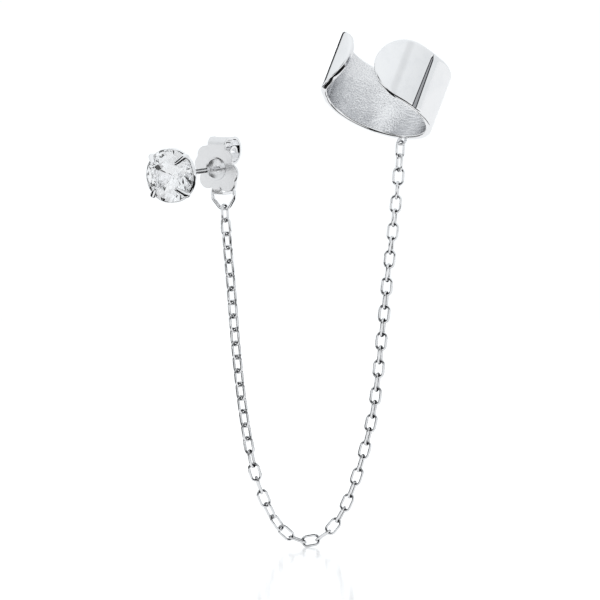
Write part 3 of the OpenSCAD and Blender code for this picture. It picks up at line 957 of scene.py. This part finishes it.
def stage_sheet(name, size, matrix, finish):
    """A flat sheet of the studio, as wide and deep as the size, put in place by the matrix."""
    bm = bmesh.new()
    bmesh.ops.create_grid(bm, x_segments=1, y_segments=1, size=0.5)
    bmesh.ops.scale(bm, vec=(*size, 1), verts=bm.verts)
    bmesh.ops.transform(bm, matrix=IN_METRES @ matrix, verts=bm.verts)
    mesh = bpy.data.meshes.new(name)
    bm.to_mesh(mesh)
    bm.free()
    mesh.materials.append(finish.material)
    sheet = bpy.data.objects.new(name, mesh)
    bpy.context.scene.collection.objects.link(sheet)
    return sheet


def make_floor():
    """A pale floor just under the chain, with a faint mirror image for a look along it."""
    pale = Finish("pale_floor", Specular_IOR_Level=0.0, Roughness=0.042)
    grazed = pale.node("ShaderNodeLayerWeight", {}, {"Blend": 0.5}, "Facing")
    pale.feed("Metallic", grazed.above(0.95, 0.98) * FLOOR_GLOSS)
    mottle = pale.noise(pale.place(), 0.02, 2.0)
    pale.feed("Base Color", pale.mixed(mottle, (0.985, 0.975, 0.97), (1.0, 0.99, 0.985)))
    height = photo_to_mm(0, FLOOR_PIXEL)[1]
    stage_sheet("studio_floor", (FLOOR_SIDE, FLOOR_SIDE), moved(0, 0, height), pale)


def make_flags():
    """Black flags round the earring that only the metal mirrors, each with its size and its place."""
    black = Finish("black_flag", Roughness=0.9, Specular_IOR_Level=0.0)
    mottle = black.noise(black.place(), 0.05)
    black.feed("Base Color", black.mixed(mottle, (0.01, 0.01, 0.01), (0.015, 0.015, 0.015)))
    low, high = Vector((-8, -15, -11)), Vector((-8, -15, 9.5))
    upright = turned(QUARTER_TURN, "X")
    flags = [
        ("under_flag", (57, 53), moved(25.5, -33.5, -7)),
        ("lip_flag", (10, 25), moved(10, 4.5, -7)),
        ("left_flag", (37, 50), moved(-24, 27, -26.5) @ turned(QUARTER_TURN, "Y")),
        ("slant_flag", (28, 14), moved(-13.5, -12.5, -27) @ turned(-FLAG_SLANT, "Z") @ upright),
        ("back_flag", (40, 20.5), moved(12, 12, -23.25) @ upright),
        ("low_flag", (16, 11), moved(*low) @ aimed(-low)),
        ("high_flag", (16, 11), moved(*high) @ aimed(-high)),
    ]
    for name, size, matrix in flags:
        flag = stage_sheet(name, size, matrix, black)
        flag.visible_camera = False
        flag.visible_diffuse = False
        flag.visible_transmission = False
        flag.visible_shadow = False


def make_light():
    """A white tent all round, brightest straight behind, with a dark drape, seam and corner for the metal."""
    world = bpy.data.worlds.new("studio")
    bpy.context.scene.world = world
    world.use_nodes = True
    sky = Shade(world.node_tree)
    x, y, z = sky.parts(sky.node("ShaderNodeTexCoord", {}, {}, "Generated"), "XYZ")
    to_camera, to_facets, to_matt = (
        sky.node("ShaderNodeLightPath", {}, {}, name)
        for name in ("Is Camera Ray", "Is Transmission Ray", "Is Diffuse Ray")
    )
    left, front = 0 - x, 0 - y
    drape = y.above(0.5, 0.72) * left.above(0.14, 0.2) * (1 - left.above(0.42, 0.46))
    drape = drape * (1 - z.above(0.4, 0.5))
    seam = front.above(0.3, 0.5) * x.above(0.42, 0.55) * (1 - x.above(0.62, 0.74))
    corner = front.above(0.5, 0.62) * left.above(0.3, 0.42)
    corner = corner * z.above(0.2, 0.3) * (1 - z.above(0.5, 0.6))
    metal = (1 - drape * 0.95) * (1 - seam * 0.12) * (1 - corner * 0.9)
    stone = STONE_GLOW * (1 - z.size().above(0.6, 0.7) * 0.9)
    tent = TENT_GLOW + z.above(-0.1, 0.9) * TENT_RISE
    mirrored = tent * (metal + to_facets * (stone - metal)) + y.above(0.975, 0.99) * BACKDROP_GLOW
    strength = mirrored + to_camera * (CAMERA_GLOW - mirrored) + to_matt * (MATT_GLOW - mirrored)
    glow = world.node_tree.nodes["Background"]
    world.node_tree.links.new(strength.socket, glow.inputs["Strength"])
    glow.inputs["Color"].default_value = (*TENT_WHITE, 1)


bpy.context.scene.view_settings.view_transform = "Standard"
make_camera()
wire_silver = polished_silver("wire_silver", wear=0.5)
make_cuff(polished_silver("creased_silver", creased=True), satin_silver(), wire_silver)
make_chain(polished_silver("chain_silver", wear=0.15, white=0.86, linked=True))
make_ring(wire_silver)
make_nut(polished_silver("plate_silver", wear=0.3, haze=0.24, white=0.84), polished_silver("scroll_silver"))
make_setting(wire_silver, polished_silver("post_silver", wear=0.3, white=0.98))
make_stone(clear_stone())
make_floor()
make_flags()
make_light()
